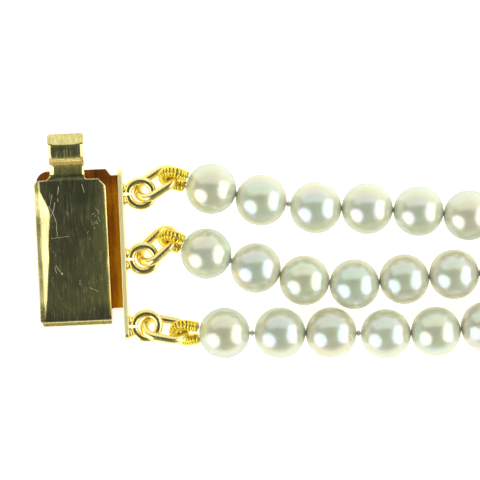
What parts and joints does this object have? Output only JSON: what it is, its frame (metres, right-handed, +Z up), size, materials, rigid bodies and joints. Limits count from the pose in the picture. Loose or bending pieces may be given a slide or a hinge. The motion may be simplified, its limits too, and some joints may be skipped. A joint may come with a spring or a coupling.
{
  "type": "multi strand necklace",
  "caption": "Loop of knotted round pearls in parallel strands of rising length, laid flat, with an undone gold box clasp whose folded spring tongue is pressed at its thumb tab.",
  "frame": {"origin": "on the surface the necklace lies on, under the middle of its bounding box", "axes": "+X from the clasp's box to its tongue, +Y from the clasp to the back of the loop, +Z up from the surface"},
  "size_m": [0.2004, 0.1025, 0.0063],
  "materials": {
    "gold": "polished yellow gold with fine scratches",
    "coiled_gold": "fine bright coiled wire",
    "pearl": "lustrous ivory nacre with pink and green overtones",
    "silk": "twisted cream silk"
  },
  "bodies": {
    "necklace": {"clasp_tongue": "gold", "clasp_box": "gold", "link_tongue_1": "gold", "link_tongue_2": "gold", "link_tongue_3": "gold", "link_box_1": "gold", "link_box_2": "gold", "link_box_3": "gold", "gimp_tongue_1": "coiled_gold", "gimp_tongue_2": "coiled_gold", "gimp_tongue_3": "coiled_gold", "gimp_box_1": "coiled_gold", "gimp_box_2": "coiled_gold", "gimp_box_3": "coiled_gold", "pearls_inner": "pearl", "pearls_middle": "pearl", "pearls_outer": "pearl", "thread_inner": "silk", "thread_middle": "silk", "thread_outer": "silk"},
    "thumb_leaf": {"spring_leaf": "gold"}
  },
  "joints": [
    {"name": "thumb_press", "type": "hinge", "parent": "necklace", "child": "thumb_leaf", "pos_m": [-0.00891, -0.04574, 0.0013], "axis": [-0.999, -0.0454, 0], "range_deg": [0, 6], "stiffness_Nm_per_rad": 0.3}
  ]
}
